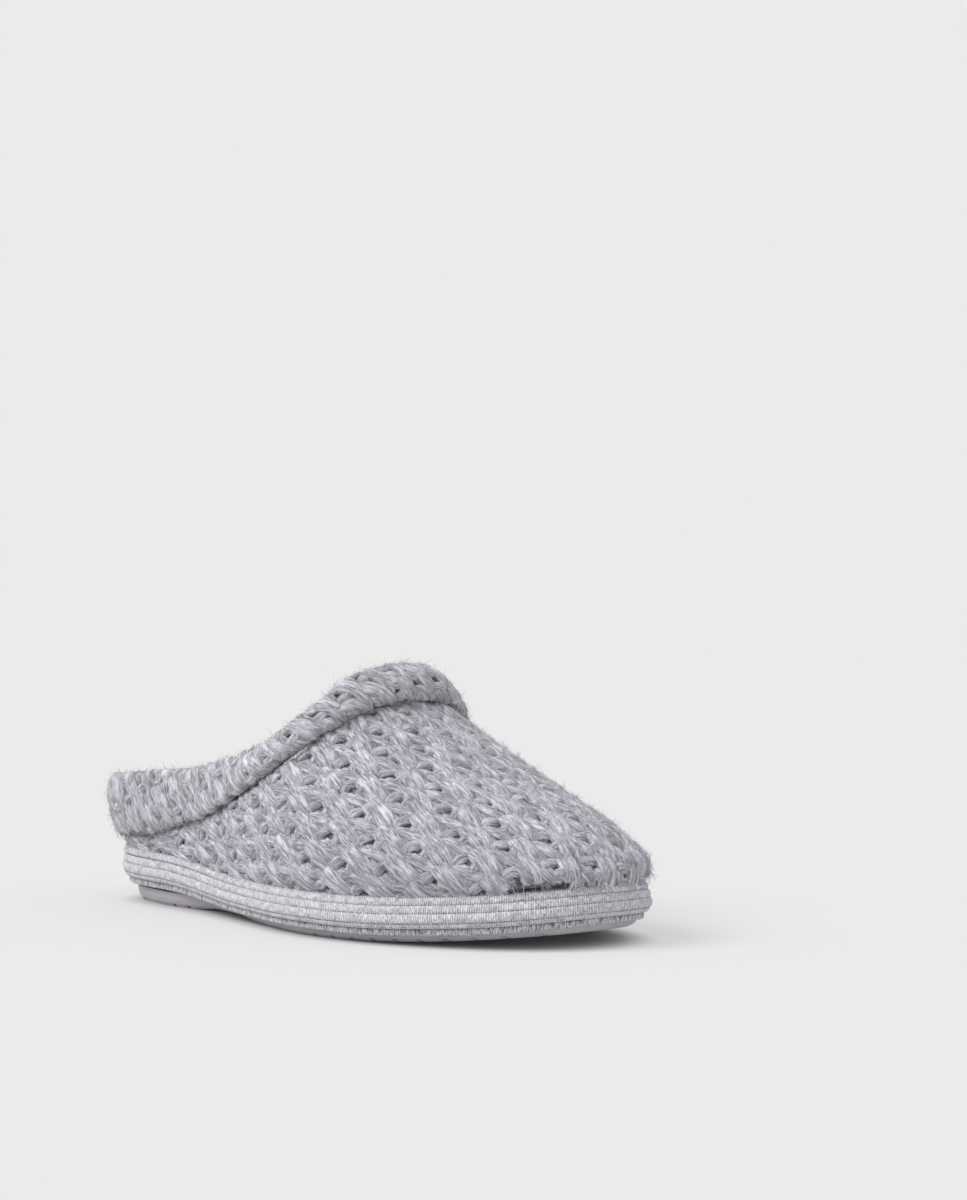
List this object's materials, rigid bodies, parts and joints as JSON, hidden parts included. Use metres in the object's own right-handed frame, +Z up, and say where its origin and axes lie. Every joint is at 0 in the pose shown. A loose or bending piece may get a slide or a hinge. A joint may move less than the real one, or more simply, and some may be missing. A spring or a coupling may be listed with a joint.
{
  "type": "knitted slipper",
  "caption": "Chunky knitted mule slipper with a folded padded cuff, closed rounded toe, low heel collar and a wrapped ribbed platform over a thin rubber sole.",
  "frame": {"origin": "middle of the bounding box's bottom face, on the floor under the sole", "axes": "+X towards the toe, +Y towards the inner side of the foot, +Z up"},
  "size_m": [0.268, 0.1058, 0.0979],
  "materials": {
    "outsole_rubber": "matt light grey rubber",
    "ribbed_band": "fine ribbed heathered knit",
    "footbed_textile": "soft brushed textile",
    "upper_knit": "chunky fluffy heathered knit",
    "cuff_knit": "chunky fluffy heathered knit"
  },
  "bodies": {
    "root": {"outsole": "outsole_rubber", "platform": "ribbed_band", "footbed": "footbed_textile", "upper": "upper_knit", "cuff": "cuff_knit"}
  },
  "joints": []
}
